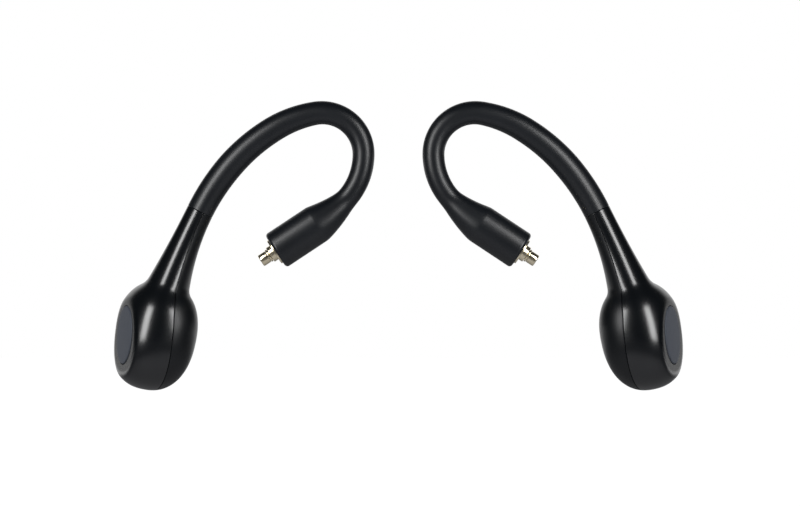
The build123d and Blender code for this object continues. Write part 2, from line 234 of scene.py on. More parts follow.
def ride_as(piece: bpy.types.Object, side: Side, body: str, slot: str, *nodes: str) -> None:
    """Tie a piece to its body and hide the frame's nodes that it stands for.

    Args:
        piece: The finished piece.
        side: The unit that it belongs to.
        body: The body's name, without the ear's.
        slot: The record's material slot; not used.
        nodes: Names of the nodes that it replaces, without the ear's.
    """
    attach(piece, f"{side.label}_{body}")
    if nodes:
        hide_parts(*(f"{side.label}_{node}" for node in nodes))
    LOG.info("%s: %d faces", piece.name, len(piece.data.polygons))


# ---- finishes ----


@dataclass(frozen=True)
class Finish:
    """A surface finish: two close shades, a spread of roughness and a fine relief.

    Lengths are in millimetres. The pattern reads Object coordinates, so it stays put on a piece.
    """

    name: str
    shade: tuple[float, float, float]
    second_shade: tuple[float, float, float]
    roughness: tuple[float, float]
    grain: Grain = Grain.SPECKLE
    grain_size: float = 0.2
    relief: float = 0.004
    metallic: float = 0.0
    specular: float = 0.5
    transmission: float = 0.0
    patch_size: float = 6.0

    def build(self) -> bpy.types.Material:
        """Make the material's nodes.

        Returns:
            The material.
        """
        material = bpy.data.materials.new(self.name)
        material.use_nodes = True
        tree = material.node_tree
        shader = tree.nodes["Principled BSDF"]
        shader.inputs["Metallic"].default_value = self.metallic
        shader.inputs["Specular IOR Level"].default_value = self.specular
        shader.inputs["Transmission Weight"].default_value = self.transmission
        where = tree.nodes.new("ShaderNodeTexCoord").outputs["Object"]
        grain = self._grain(tree, where)
        patches = self._noise(tree, where, self.patch_size, PATCH_DETAIL)
        mottle = self._halves(tree, grain, patches)
        self._shades(tree, mottle, shader)
        self._polish(tree, mottle, shader)
        bump = tree.nodes.new("ShaderNodeBump")
        bump.inputs["Distance"].default_value = self.relief * METRES
        bump.inputs["Strength"].default_value = 1.0
        tree.links.new(grain, bump.inputs["Height"])
        tree.links.new(bump.outputs["Normal"], shader.inputs["Normal"])
        return material

    def _halves(self, tree: Tree, first: Socket, second: Socket) -> Socket:
        """Mean of two patterns.

        Args:
            tree: The material's node tree.
            first: One pattern's socket.
            second: The other pattern's socket.

        Returns:
            The mean's socket.
        """
        half = tree.nodes.new("ShaderNodeMath")
        half.operation = "MULTIPLY"
        half.inputs[1].default_value = 0.5
        tree.links.new(second, half.inputs[0])
        total = tree.nodes.new("ShaderNodeMath")
        total.operation = "MULTIPLY_ADD"
        total.inputs[1].default_value = 0.5
        tree.links.new(first, total.inputs[0])
        tree.links.new(half.outputs[0], total.inputs[2])
        return total.outputs[0]

    def _noise(self, tree: Tree, where: Socket, size: float, detail: float) -> Socket:
        """Noise with features of the given size, as a socket that runs from 0 to 1."""
        noise = tree.nodes.new("ShaderNodeTexNoise")
        noise.inputs["Scale"].default_value = 1.0 / (size * METRES)
        noise.inputs["Detail"].default_value = detail
        tree.links.new(where, noise.inputs["Vector"])
        return noise.outputs["Fac"]

    def _grain(self, tree: Tree, where: Socket) -> Socket:
        """The fine pattern as a socket that runs from 0 to 1.

        Args:
            tree: The material's node tree.
            where: Socket with Object coordinates.

        Returns:
            The pattern's socket.
        """
        scale = 1.0 / (self.grain_size * METRES)
        if self.grain is Grain.SPECKLE:
            return self._noise(tree, where, self.grain_size, SPECKLE_DETAIL)
        waves = tree.nodes.new("ShaderNodeTexWave")
        waves.inputs["Scale"].default_value = scale * WAVE_SCALE
        brushed = self.grain is Grain.BRUSHED
        waves.inputs["Distortion"].default_value = BRUSHED_DISTORTION if brushed else 0.0
        waves.bands_direction = "DIAGONAL" if brushed else "X"
        tree.links.new(where, waves.inputs["Vector"])
        if brushed:
            return waves.outputs["Fac"]
        weft = tree.nodes.new("ShaderNodeTexWave")
        weft.bands_direction = "Y"
        weft.inputs["Scale"].default_value = scale * WAVE_SCALE
        tree.links.new(where, weft.inputs["Vector"])
        crossing = tree.nodes.new("ShaderNodeMath")
        crossing.operation = "MULTIPLY"
        tree.links.new(waves.outputs["Fac"], crossing.inputs[0])
        tree.links.new(weft.outputs["Fac"], crossing.inputs[1])
        return crossing.outputs[0]

    def _shades(self, tree: Tree, source: Socket, shader: bpy.types.Node) -> None:
        """Run the colour between the two shades with the pattern."""
        ramp = tree.nodes.new("ShaderNodeValToRGB")
        ramp.color_ramp.elements[0].position = 0.3
        ramp.color_ramp.elements[0].color = (*self.shade, 1.0)
        ramp.color_ramp.elements[1].position = 0.7
        ramp.color_ramp.elements[1].color = (*self.second_shade, 1.0)
        tree.links.new(source, ramp.inputs["Fac"])
        tree.links.new(ramp.outputs["Color"], shader.inputs["Base Color"])

    def _polish(self, tree: Tree, source: Socket, shader: bpy.types.Node) -> None:
        """Run the roughness between its two values with the pattern."""
        spread = tree.nodes.new("ShaderNodeMapRange")
        spread.inputs["From Min"].default_value = 0.25
        spread.inputs["From Max"].default_value = 0.75
        spread.inputs["To Min"].default_value = self.roughness[0]
        spread.inputs["To Max"].default_value = self.roughness[1]
        tree.links.new(source, spread.inputs["Value"])
        tree.links.new(spread.outputs["Result"], shader.inputs["Roughness"])


OUTER_SHELL = Finish(
    "outer shell, satin-gloss black", (0.0008, 0.0016, 0.0026), (0.0014, 0.0024, 0.0038), (0.21, 0.25),
    grain_size=0.25, relief=0.0002, specular=0.75,
)
INNER_SHELL = Finish(
    "inner shell, satin black", (0.0009, 0.0018, 0.0030), (0.0016, 0.0028, 0.0042), (0.32, 0.38),
    grain_size=0.18, relief=0.0008, specular=0.4,
)
BUTTON = Finish(
    "button, satin slate", (0.060, 0.068, 0.086), (0.070, 0.079, 0.098), (0.50, 0.60),
    grain_size=0.12, relief=0.003, specular=0.3,
)
HOOK_RUBBER = Finish(
    "hook, grained charcoal rubber", (0.0012, 0.0024, 0.0042), (0.0036, 0.0052, 0.0080), (0.35, 0.42),
    grain_size=0.16, relief=0.006, specular=0.55,
)
GILT = Finish(
    "pale gilt plate", (0.82, 0.73, 0.52), (0.90, 0.82, 0.62), (0.16, 0.26),
    grain_size=0.15, relief=0.001, metallic=1.0,
)
DARK_MOULDING = Finish(
    "dark moulding", (0.018, 0.019, 0.021), (0.030, 0.031, 0.034), (0.45, 0.60), relief=0.004,
)
SILICONE = Finish("silicone", (0.030, 0.031, 0.034), (0.045, 0.046, 0.050), (0.60, 0.75), relief=0.003)
CIRCUIT_BOARD = Finish(
    "board, green resist", (0.010, 0.070, 0.035), (0.018, 0.110, 0.055), (0.25, 0.40),
    Grain.WOVEN, 0.35, 0.003,
)
CHIP = Finish("chip, black epoxy", (0.012, 0.012, 0.013), (0.022, 0.022, 0.024), (0.40, 0.55))
BRIGHT_CAN = Finish(
    "bright nickel", (0.56, 0.55, 0.53), (0.68, 0.67, 0.65), (0.22, 0.38), Grain.BRUSHED, 0.2, 0.002,
    metallic=1.0,
)
CLEAR_MOULDING = Finish(
    "clear moulding", (0.80, 0.83, 0.84), (0.88, 0.90, 0.90), (0.08, 0.16), transmission=0.8,
)
GAUZE = Finish(
    "woven gauze", (0.06, 0.06, 0.065), (0.30, 0.30, 0.31), (0.30, 0.45), Grain.WOVEN, 0.12, 0.02,
    metallic=1.0,
)
FLEX_FILM = Finish(
    "amber film", (0.28, 0.12, 0.02), (0.40, 0.19, 0.04), (0.20, 0.35), Grain.BRUSHED, 0.3, 0.002,
)
LEAD_JACKET = Finish("lead jacket", (0.012, 0.012, 0.013), (0.022, 0.022, 0.024), (0.45, 0.60))
WIRE = Finish("red enamel", (0.35, 0.02, 0.015), (0.50, 0.04, 0.03), (0.20, 0.30))
INSULATOR = Finish("white insulator", (0.72, 0.72, 0.68), (0.82, 0.82, 0.79), (0.35, 0.50))

FINISH_OF_SLOT = {
    "outer_shell": OUTER_SHELL,
    "inner_shell": INNER_SHELL,
    "button": BUTTON,
    "hook_rubber": HOOK_RUBBER,
    "gilt": GILT,
    "dark_moulding": DARK_MOULDING,
    "silicone": SILICONE,
    "circuit_board": CIRCUIT_BOARD,
    "chip": CHIP,
    "bright_can": BRIGHT_CAN,
    "clear_moulding": CLEAR_MOULDING,
    "gauze": GAUZE,
    "flex_film": FLEX_FILM,
    "lead_jacket": LEAD_JACKET,
    "wire": WIRE,
    "insulator": INSULATOR,
}


MATERIALS: dict[str, bpy.types.Material] = {}


def material_of(finish: Finish) -> bpy.types.Material:
    """The finish's material, made the first time that it is asked for."""
    if finish.name not in MATERIALS:
        MATERIALS[finish.name] = finish.build()
    return MATERIALS[finish.name]


# ---- the unit's lines ----


@dataclass(frozen=True)
class HookLine:
    """The hook's centre line: tangent bends in the plane Y = 0, then the straight boot."""

    root: tuple[float, float] = (-39.7, -17.2)
    root_angle: float = 63.7
    bends: tuple[tuple[float, float], ...] = (
        (43.7, 14.2), (36.6, 18.3), (23.9, 20.9), (8.3, 100.6), (13.4, 42.9), (32.6, 13.3),
    )
    boot_length: float = 9.8
    samples: int = 6001

    @property
    def bent_length(self) -> float:
        """Length along the bends, without the boot."""
        return sum(radius * math.radians(angle) for radius, angle in self.bends)

    @property
    def length(self) -> float:
        """Length from the seam to the boot's end."""
        return self.bent_length + self.boot_length

    def heading(self, distance: Points) -> Points:
        """Direction angle at a distance along the line: the root's less the turns passed so far."""
        angle = np.full_like(distance, math.radians(self.root_angle))
        start = 0.0
        for radius, turn in self.bends:
            passed = np.clip(distance - start, 0.0, radius * math.radians(turn))
            angle = angle - passed / radius
            start += radius * math.radians(turn)
        return angle

    def place(self, distance: Points) -> tuple[Points, Points]:
        """Points and directions at distances along the line, by integrating its heading.

        Args:
            distance: Distances from the seam, ascending from 0.

        Returns:
            The points and the unit directions, each of shape (count, 3).
        """
        fine = np.linspace(0.0, self.length, self.samples)
        angle = self.heading(fine)
        middle = (angle[1:] + angle[:-1]) / 2.0
        step = np.diff(fine)
        x = self.root[0] + np.concatenate([[0.0], np.cumsum(np.cos(middle) * step)])
        z = self.root[1] + np.concatenate([[0.0], np.cumsum(np.sin(middle) * step)])
        here = self.heading(distance)
        points = np.stack([np.interp(distance, fine, x), 0.0 * distance, np.interp(distance, fine, z)], -1)
        return points, np.stack([np.cos(here), 0.0 * here, np.sin(here)], -1)


@dataclass(frozen=True)
class PodFrame:
    """The pod's centre and the directions that its stack of parts follows."""

    centre: tuple[float, float, float] = (-48.7, 0.0, -42.3)
    turn: float = 22.0
    lean: float = 4.0
    tilt: float = 13.0

    @property
    def front(self) -> Points:
        """Level direction towards the front, along the parting face."""
        angle = math.radians(self.turn)
        return np.array([math.sin(angle), -math.cos(angle), 0.0])

    def out(self, lean: float) -> Points:
        """Direction out through the button, leaned up by so many degrees."""
        turn, up = math.radians(self.turn), math.radians(lean)
        level = np.array([-math.cos(turn), -math.sin(turn), 0.0])
        return level * math.cos(up) + np.array([0.0, 0.0, math.sin(up)])

    def axes(self, lean: float) -> Points:
        """Rows: towards the front, up and out, for a given lean."""
        out = self.out(lean)
        return np.stack([self.front, np.cross(out, self.front), out])

    def from_stack(self, across: Points, up: Points, out: Points) -> Points:
        """Points from their coordinates along the stack's axes."""
        axes = self.axes(self.lean)
        local = np.stack(np.broadcast_arrays(across, up, out), axis=-1)
        return np.asarray(self.centre) + local @ axes


def turned(profile: Points, origin: Points, axis: Points, around: int) -> Points:
    """Carry a profile of (distance along the axis, radius) round an axis.

    Args:
        profile: Array of pairs.
        origin: Where the axis distance is 0.
        axis: Unit direction.
        around: Number of points in a ring.

    Returns:
        Grid of points, one ring for each pair.
    """
    side = unit(np.cross(axis, [0.0, 1.0, 0.0]))
    other = np.cross(axis, side)
    angle = np.linspace(0.0, 2.0 * math.pi, around, endpoint=False)[None, :, None]
    ring = np.cos(angle) * side + np.sin(angle) * other
    return origin + profile[:, None, :1] * axis + profile[:, None, 1:] * ring


def rounded(corners: Sequence[tuple[float, float, float]], steps: int = 5, closed: bool = False) -> Points:
    """Outline through corners, each rounded by an arc that meets both of its edges.

    A corner is (along, radius, rounding). The arc is a quadratic curve from a point that lies the
    rounding before the corner, pulled to the corner, to a point that lies the rounding after it.

    Args:
        corners: The corners in order.
        steps: Points in each arc.
        closed: Whether the last corner joins the first.

    Returns:
        The outline's points, two numbers each.
    """
    place = np.array([corner[:2] for corner in corners], dtype=float)
    before = np.roll(place, 1, axis=0)
    after = np.roll(place, -1, axis=0)
    outline = []
    for number, corner in enumerate(corners):
        ends = not closed and number in (0, len(corners) - 1)
        if ends or corner[2] == 0.0:
            outline.append(place[number][None])
            continue
        start = place[number] + unit(before[number] - place[number]) * corner[2]
        end = place[number] + unit(after[number] - place[number]) * corner[2]
        t = np.linspace(0.0, 1.0, steps)[:, None]
        outline.append((1 - t) ** 2 * start + 2 * t * (1 - t) * place[number] + t**2 * end)
    return np.concatenate(outline)


OVAL_POINTS = 160
LEAST_INSET = 1e-6


def oval_rings(frame: PodFrame, halves: tuple[float, float], levels: Levels) -> Points:
    """Closed stack of ovals on the button's axis, with a pole at each end.

    Args:
        frame: The pod's directions.
        halves: Half sizes of the oval, towards the front and up.
        levels: Pairs of height along the axis and scale or, where negative, inset from the oval.

    Returns:
        Grid of points, one oval in each row.
    """
    angle = np.linspace(0.0, 2.0 * math.pi, OVAL_POINTS, endpoint=False)[None]
    height = np.array([levels[0][0], *(level[0] for level in levels), levels[-1][0]])[:, None]
    scale = np.array([0.0, *(level[1] for level in levels), 0.0])[:, None]
    across = np.where(scale < 0.0, halves[0] + scale, halves[0] * scale) * np.cos(angle)
    up = np.where(scale < 0.0, halves[1] + scale, halves[1] * scale) * np.sin(angle)
    return frame.from_stack(across, up, height + 0.0 * angle)


# ---- pod and neck ----


@dataclass
class PodShells:
    """The two hard halves of pod and neck, with the button's well between them and the outside."""

    side: Side
    frame: PodFrame
    hook: HookLine
    egg_centre: tuple[float, float, float] = (-48.85, 0.0, -42.0)
    half_depth: float = 9.2
    half_height: float = 11.0
    half_thick: float = 8.05
    squareness: float = 2.3
    neck_radius: float = 2.70
    neck_bend: float = 125.0
    neck_end: float = 20.0
    neck_cap: float = 3.0
    swell_side: float = 0.0064
    swell_front: float = 0.0105
    neck_blend: float = 0.7
    facet_level: float = 6.42
    facet_blend: float = 0.5
    wall: float = 0.9
    parting_gap: float = 0.05
    parting_round: float = 0.12
    seam_round: float = 0.12
    parting_bend: float = 15.0
    parting_angle: float = 84.0
    straight: float = 3.2
    level_by: float = 12.0
    first_rows: tuple[float, ...] = (0.0, 0.04, 0.08, 0.12)
    even_from: float = 0.2
    last_tips: tuple[float, ...] = (0.024, 0.012, 0.006, 0.0)
    edge_angles: tuple[float, float] = (0.004, 0.045)
    edge_columns: int = 6
    samples: int = 4001
    neck_rows: int = 96
    pod_rows: int = 28
    foot_rows: int = 76
    columns: int = 128
    march: float = 0.4
    longest_ray: float = 16.0
    halvings: int = 24
    thinnest: float = 0.45
    well: tuple[float, float] = (4.60, 5.95)
    contact_hole: float = 0.95
    contact_rises: tuple[float, float] = (2.7, -1.3)
    light_hole: float = 0.53
    light_place: tuple[float, float] = (-4.0, -4.9)
    port_hole: float = 0.5
    drill_points: int = 48
    ear_start: float = -12.0
    contact_reach: float = 6.5
    light_reach: float = 8.0
    port_start: float = 14.0
    port_reach: float = 5.0
    well_levels: tuple[float, float] = (4.4, 9.0)
    outer: Finish = OUTER_SHELL
    inner: Finish = INNER_SHELL

    def field(self, points: Points) -> Points:
        """Signed field of the body, about in millimetres and negative inside.

        A squared-off egg, (|x/a|^n + |y/b|^n + |z/c|^n)^(1/n) - 1, is joined softly to a bent cone
        of oval section whose two radii grow with the square of the distance from the seam, and
        the flat for the button is cut with a soft edge.

        Args:
            points: Points of any shape, three numbers each.

        Returns:
            The field at each point.
        """
        local = (points - np.asarray(self.egg_centre)) @ self.frame.axes(self.frame.tilt).T
        halves = np.array([self.half_depth, self.half_height, self.half_thick])
        power = self.squareness
        total = np.sum(np.abs(local / halves) ** power, axis=-1)
        egg = (total ** (1.0 / power) - 1.0) * self.half_thick
        joined = soft_min(egg, self._neck(points), self.neck_blend)
        outward = (points - np.asarray(self.frame.centre)) @ self.frame.out(self.frame.lean)
        return soft_max(joined, outward - self.facet_level, self.facet_blend)

    def _neck(self, points: Points) -> Points:
        """Field of the bent oval cone, closed by an oval cap inside the pod."""
        angle = math.radians(self.hook.root_angle)
        down = np.array([-math.cos(angle), 0.0, -math.sin(angle)])
        inward = np.array([math.sin(angle), 0.0, -math.cos(angle)])
        root = np.array([self.hook.root[0], 0.0, self.hook.root[1]])
        along = (points - root) @ down
        reach = np.clip(along, 0.0, self.neck_end)
        sideways = (points - root) @ inward - reach**2 / (2.0 * self.neck_bend)
        side = self.neck_radius + self.swell_side * reach**2
        front = self.neck_radius + self.swell_front * reach**2
        beyond = np.maximum(along - self.neck_end, 0.0) / self.neck_cap
        section = (sideways / side) ** 2 + (points[..., 1] / front) ** 2
        return (np.sqrt(section + beyond**2) - 1.0) * side

    def _spine(self) -> tuple[Points, Points, Points]:
        """Where the rays start, the axis that they turn round and how far they tip towards it.

        The starts follow the parting face: down the neck's bend, round a tighter bend and
        straight on into the pod, where the last start fans out over the foot.

        Returns:
            Starts (rows, 3), axes (rows, 3) and tips in radians (rows,).
        """
        root_angle = math.radians(self.hook.root_angle)
        turn_end = math.radians(self.parting_angle)
        neck_turn = self.neck_end / self.neck_bend
        second = self.parting_bend * (turn_end - root_angle - neck_turn)
        total = self.neck_end + second + self.straight
        fine = np.linspace(0.0, total, self.samples)
        heading = root_angle + np.clip(fine, 0.0, self.neck_end) / self.neck_bend
        heading = heading + np.clip(fine - self.neck_end, 0.0, second) / self.parting_bend
        middle = (heading[1:] + heading[:-1]) / 2.0
        step = np.diff(fine)
        x = self.hook.root[0] - np.concatenate([[0.0], np.cumsum(np.cos(middle) * step)])
        z = self.hook.root[1] - np.concatenate([[0.0], np.cumsum(np.sin(middle) * step)])
        first = np.array(self.first_rows)
        down_neck = np.linspace(self.even_from, self.neck_end, self.neck_rows)
        in_pod = np.linspace(self.neck_end, total, self.pod_rows)[1:]
        close = math.pi / 2.0 - np.array(self.last_tips)
        fan = np.concatenate([np.linspace(0.0, math.pi / 2.0, self.foot_rows)[1:-1], close])
        along = np.concatenate([first, down_neck, in_pod, np.full(len(fan), total)])
        starts = np.stack([np.interp(along, fine, x), 0.0 * along, np.interp(along, fine, z)], -1)
        level = root_angle + (turn_end - root_angle) * smoothstep(along / self.level_by)
        axes = np.stack([-np.cos(level), 0.0 * level, -np.sin(level)], -1)
        tips = np.concatenate([np.zeros(len(along) - len(fan)), fan])
        return starts, axes, tips

    def _skin(self, angles: Points) -> tuple[Points, Points, Points, Points]:
        """Meet the body's skin along rays from the spine, by marching and then halving.

        Args:
            angles: Directions round the spine, 0 at the front and rising over the button's side.

        Returns:
            Starts (rows, 1, 3), unit rays (rows, columns, 3), distances (rows, columns) and the
            skin's distance from the parting face (rows, columns).
        """
        starts, axes, tips = self._spine()
        front = self.frame.front - axes * (axes @ self.frame.front)[:, None]
        front = unit(front)
        outward = np.cross(front, axes)
        outward = outward * np.sign(outward @ self.frame.out(0.0))[:, None]
        cosine, sine = np.cos(angles)[None, :, None], np.sin(angles)[None, :, None]
        level = cosine * front[:, None] + sine * outward[:, None]
        tip = tips[:, None, None]
        rays = unit(np.cos(tip) * level + np.sin(tip) * axes[:, None])
        origin = starts[:, None]
        low = np.zeros(rays.shape[:2])
        high = np.zeros(rays.shape[:2])
        found = np.zeros(rays.shape[:2], dtype=bool)
        for reach in np.arange(self.march, self.longest_ray, self.march):
            fresh = (self.field(origin + rays * reach) > 0.0) & ~found
            high[fresh] = reach
            low[fresh] = reach - self.march
            found |= fresh
        for _ in range(self.halvings):
            middle = (low + high) / 2.0
            outside = self.field(origin + rays * middle[..., None]) > 0.0
            high = np.where(outside, middle, high)
            low = np.where(outside, low, middle)
        reach = (low + high) / 2.0
        return origin, rays, reach, reach * np.abs(np.sin(angles))[None] * np.cos(tips)[:, None]

    def grid(self, outer: bool) -> Points:
        """Closed rings of one half: over its outside, then back over its inside.

        Each ring's edge lies a gap short of the parting face and is rounded over, the first rings
        are drawn in to round the edge at the seam, and one ring more closes the end face.

        Args:
            outer: Whether it is the half on the button's side.

        Returns:
            Grid of points, one ring in each row.
        """
        sign = 1.0 if outer else -1.0
        near = np.geomspace(*self.edge_angles, self.edge_columns)
        spread = np.linspace(0.0, math.pi, self.columns)
        angles = np.unique(np.concatenate([spread, near, math.pi - near]))
        origin, rays, reach, away = self._skin(angles * sign)
        fall = np.clip(1.0 - away / self.parting_round, 0.0, 1.0)
        drop = self.parting_round * (1.0 - np.sqrt(1.0 - fall**2))
        seam = np.clip(1.0 - np.array(self.first_rows) / self.seam_round, 0.0, 1.0)
        drop[: len(seam)] += self.seam_round * (1.0 - np.sqrt(1.0 - seam**2))[:, None]
        depth = np.minimum(self.wall, reach * self.thinnest)
        part = (sign * self.parting_gap * np.exp(-away / self.parting_round))[..., None]
        shift = part * self.frame.out(0.0)
        outside = origin + rays * (reach - drop)[..., None] + shift
        inside = origin + rays * (reach - drop - depth)[..., None] + shift
        rings = np.concatenate([outside, inside[:, ::-1]], axis=1)
        end = np.concatenate([inside[:1], inside[:1, ::-1]], axis=1)
        return np.concatenate([end, rings])

    def _drill(self, origin: Points, axis: Points, radius: float, length: float) -> bpy.types.Object:
        """A round cutter with flat ends.

        Args:
            origin: Centre of its first end.
            axis: Unit direction in which it runs.
            radius: Its radius.
            length: Its length.

        Returns:
            The cutter.
        """
        shape = np.array([(0.0, 0.0), (0.0, radius), (length, radius), (length, 0.0)])
        grid = turned(shape, origin, axis, self.drill_points)
        return make_piece("cutter", grid, self.side, material_of(self.outer))

    def build(self) -> None:
        """Make both halves, cut their openings and tie them to the unit."""
        label = self.side.label
        stack = self.frame.from_stack
        out = self.frame.out(self.frame.lean)
        up = self.frame.axes(self.frame.lean)[1]
        outer = make_piece(f"{label}_outer_half", self.grid(True), self.side, material_of(self.outer))
        inner = make_piece(f"{label}_inner_half", self.grid(False), self.side, material_of(self.inner))
        well = oval_rings(self.frame, self.well, [(level, 1.0) for level in self.well_levels])
        carve(outer, [make_piece("cutter", well, self.side, material_of(self.outer))])
        cutters = [
            self._drill(stack(0.0, rise, self.ear_start), out, self.contact_hole, self.contact_reach)
            for rise in self.contact_rises
        ]
        lamp = stack(*self.light_place, self.ear_start)
        cutters.append(self._drill(lamp, out, self.light_hole, self.light_reach))
        carve(inner, cutters)
        foot = stack(0.0, 0.0, 0.0) - self.port_start * up
        for half in (outer, inner):
            carve(half, [self._drill(foot, up, self.port_hole, self.port_reach)])
        ride_as(outer, self.side, "unit", "outer_shell", "outer_shell")
        ride_as(inner, self.side, "unit", "inner_shell", "inner_shell")


# ---- button ----


@dataclass
class Button:
    """The oval button cap, a little crowned, that stands proud of the flat round its well."""

    side: Side
    frame: PodFrame
    halves: tuple[float, float] = (4.45, 5.8)
    foot: float = 5.0
    top: float = 6.62
    crown: float = 0.10
    edge: float = 0.22
    edge_steps: int = 7
    crown_steps: int = 9
    finish: Finish = BUTTON

    def build(self) -> None:
        """Make the cap: walls, a quarter round of the edge's radius and a shallow crown.

        The crown rises as crown * (1 - r^2), with r the scale of the oval.
        """
        turn = np.linspace(0.0, math.pi / 2.0, self.edge_steps)
        rises = self.top - self.edge * (1.0 - np.sin(turn))
        insets = -np.maximum(self.edge * (1.0 - np.cos(turn)), LEAST_INSET)
        shoulder = list(zip(rises.tolist(), insets.tolist()))
        inner = 1.0 - self.edge / self.halves[0]
        scales = np.linspace(inner, 0.0, self.crown_steps)[1:]
        crown = [(self.top + self.crown * (1.0 - (s / inner) ** 2), float(s)) for s in scales]
        levels = [(self.foot, 1.0), *shoulder, *crown]
        grid = oval_rings(self.frame, self.halves, levels)
        cap = make_piece(f"{self.side.label}_button_face", grid, self.side, material_of(self.finish))
        ride_as(cap, self.side, "button", "button", "button_cap")


# ---- hook ----


@dataclass
class Hook:
    """The rubber hook: a round tube of changing radius that ends in the straight boot."""

    side: Side
    line: HookLine
    radii: tuple[float, ...] = (2.70, 2.73, 2.60, 2.36, 2.20, 2.20)
    boot_radius: float = 4.0
    root_round: float = 0.14
    rim_round: float = 0.7
    bore: float = 0.8
    boot_bore: float = 2.4
    rows: int = 420
    around: int = 96
    samples: int = 2000
    blend_half: int = 60
    blend_reach: float = 2.5
    root_steps: int = 5
    rim_steps: int = 12
    bore_opening: float = 2.0
    finish: Finish = HOOK_RUBBER

    def radius(self, distance: Points) -> Points:
        """The tube's radius at distances along its line.

        It runs straight between the bends' starts and flares over the last bend to the boot's
        radius, is smoothed by a Gaussian of the line's own length, and both ends are rounded by
        a quarter circle.
        """
        starts = np.cumsum([0.0, *(r * math.radians(a) for r, a in self.line.bends)])
        keys = np.array([*self.radii, self.boot_radius])
        fine = np.linspace(0.0, starts[-1], self.samples)
        values = np.interp(fine, starts, keys)
        spread = np.linspace(-self.blend_reach, self.blend_reach, 2 * self.blend_half + 1)
        blend = np.exp(-0.5 * spread**2)
        padded = np.pad(values, self.blend_half, mode="edge")
        values = np.convolve(padded, blend / blend.sum(), mode="valid")
        radius = np.interp(distance, fine, values)
        from_root = np.clip(1.0 - distance / self.root_round, 0.0, 1.0)
        from_end = np.clip(1.0 - (self.line.length - distance) / self.rim_round, 0.0, 1.0)
        radius = radius - self.root_round * (1.0 - np.sqrt(1.0 - from_root**2))
        return radius - self.rim_round * (1.0 - np.sqrt(1.0 - from_end**2))

    def build(self) -> None:
        """Make the tube: out along its skin, over the end face and back along its bore."""
        length = self.line.length
        even = np.linspace(0.0, length, self.rows)
        root = self.root_round * (1.0 - np.cos(np.linspace(0.0, math.pi / 2.0, self.root_steps)))
        turn = np.linspace(0.0, math.pi / 2.0, self.rim_steps)
        rim = length - self.rim_round * (1.0 - np.cos(turn))
        along = np.unique(np.concatenate([even, root, rim]))
        place, heading = self.line.place(along)
        side = np.cross(heading, [0.0, 1.0, 0.0])
        angle = np.linspace(0.0, 2.0 * math.pi, self.around, endpoint=False)[None, :, None]
        ring = np.cos(angle) * side[:, None] + np.sin(angle) * np.array([0.0, 1.0, 0.0])
        skin = place[:, None] + self.radius(along)[:, None, None] * ring
        opening = smoothstep((along - self.line.bent_length) / self.bore_opening)
        bore = self.bore + (self.boot_bore - self.bore) * opening
        inside = place[:, None] + bore[:, None, None] * ring
        grid = np.concatenate([skin, inside[::-1]])
        hook = make_piece(
            f"{self.side.label}_ear_hook", grid, self.side, material_of(self.finish), close_rows=True
        )
        ride_as(hook, self.side, "unit", "hook_rubber", "hook_moulding")


# ---- plug ----


@dataclass
class Plug:
    """The gilt plug on the boot's end face, with its spring ring in the groove."""

    side: Side
    line: HookLine
    body: tuple[tuple[float, float, float], ...] = (
        (-1.5, 0.95, 0.0), (-1.5, 2.0, 0.1), (0.0, 2.0, 0.0), (0.0, 2.70, 0.0), (0.35, 2.70, 0.10),
        (0.35, 1.65, 0.05), (1.30, 1.65, 0.12), (1.30, 1.00, 0.05), (1.85, 1.00, 0.05),
        (1.85, 1.25, 0.05), (3.55, 1.25, 0.25), (3.55, 0.95, 0.04),
    )
    ring_place: float = 1.575
    ring_radii: tuple[float, float] = (1.03, 1.375)
    ring_width: float = 0.40
    ring_round: float = 0.09
    slot_width: float = 0.5
    around: int = 96
    finish: Finish = GILT

    def build(self) -> None:
        """Make the turned shell and the slotted ring."""
        point, heading = self.line.place(np.array([0.0, self.line.length]))
        end, axis = point[1], heading[1]
        shell = turned(rounded(self.body, closed=True), end, axis, self.around)
        barrel = make_piece(
            f"{self.side.label}_plug_barrel", shell, self.side, material_of(self.finish), close_rows=True
        )
        ride_as(barrel, self.side, "unit", "gilt", "plug_shell")
        self._ring(end + self.ring_place * axis, axis)

    def _ring(self, middle: Points, axis: Points) -> None:
        """Make the ring: a rounded section carried round the axis, short of a full turn.

        Args:
            middle: Centre of the ring.
            axis: Its axis.
        """
        low, high = self.ring_radii
        half = self.ring_width / 2.0
        corners = [(-half, low), (half, low), (half, high), (-half, high)]
        section = rounded([(x, r, self.ring_round) for x, r in corners], 4, closed=True)
        half_slot = self.slot_width / (low + high)
        angle = np.linspace(half_slot, 2.0 * math.pi - half_slot, self.around)[:, None, None]
        side = unit(np.cross(axis, [0.0, 1.0, 0.0]))
        other = np.cross(axis, side)
        ray = np.cos(angle) * side + np.sin(angle) * other
        rings = middle + section[None, :, :1] * axis + section[None, :, 1:] * ray
        ends = np.repeat(rings[[0, -1]].mean(axis=1, keepdims=True), len(section), axis=1)
        grid = np.concatenate([ends[:1], rings, ends[1:]])
        ring = make_piece(f"{self.side.label}_spring_ring", grid, self.side, material_of(self.finish))
        ride_as(ring, self.side, "snap_ring", "gilt", "snap_ring")


# ---- frame nodes ----


@dataclass
class FramePieces:
    """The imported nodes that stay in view, dressed in their slots' finishes."""

    nodes: dict[str, bpy.types.Object]

    def build(self) -> None:
        """Give every material slot of every node the finish that goes by its name."""
        for name, node in self.nodes.items():
            for slot in node.material_slots:
                key = slot.material.name.split(".")[0] if slot.material else ""
                finish = FINISH_OF_SLOT.get(key)
                if finish is None:
                    LOG.warning("%s: no finish for %s", name, key)
                    finish = DARK_MOULDING
                slot.material = material_of(finish)
        LOG.info("frame: %d nodes dressed", len(self.nodes))


# ---- surroundings ----


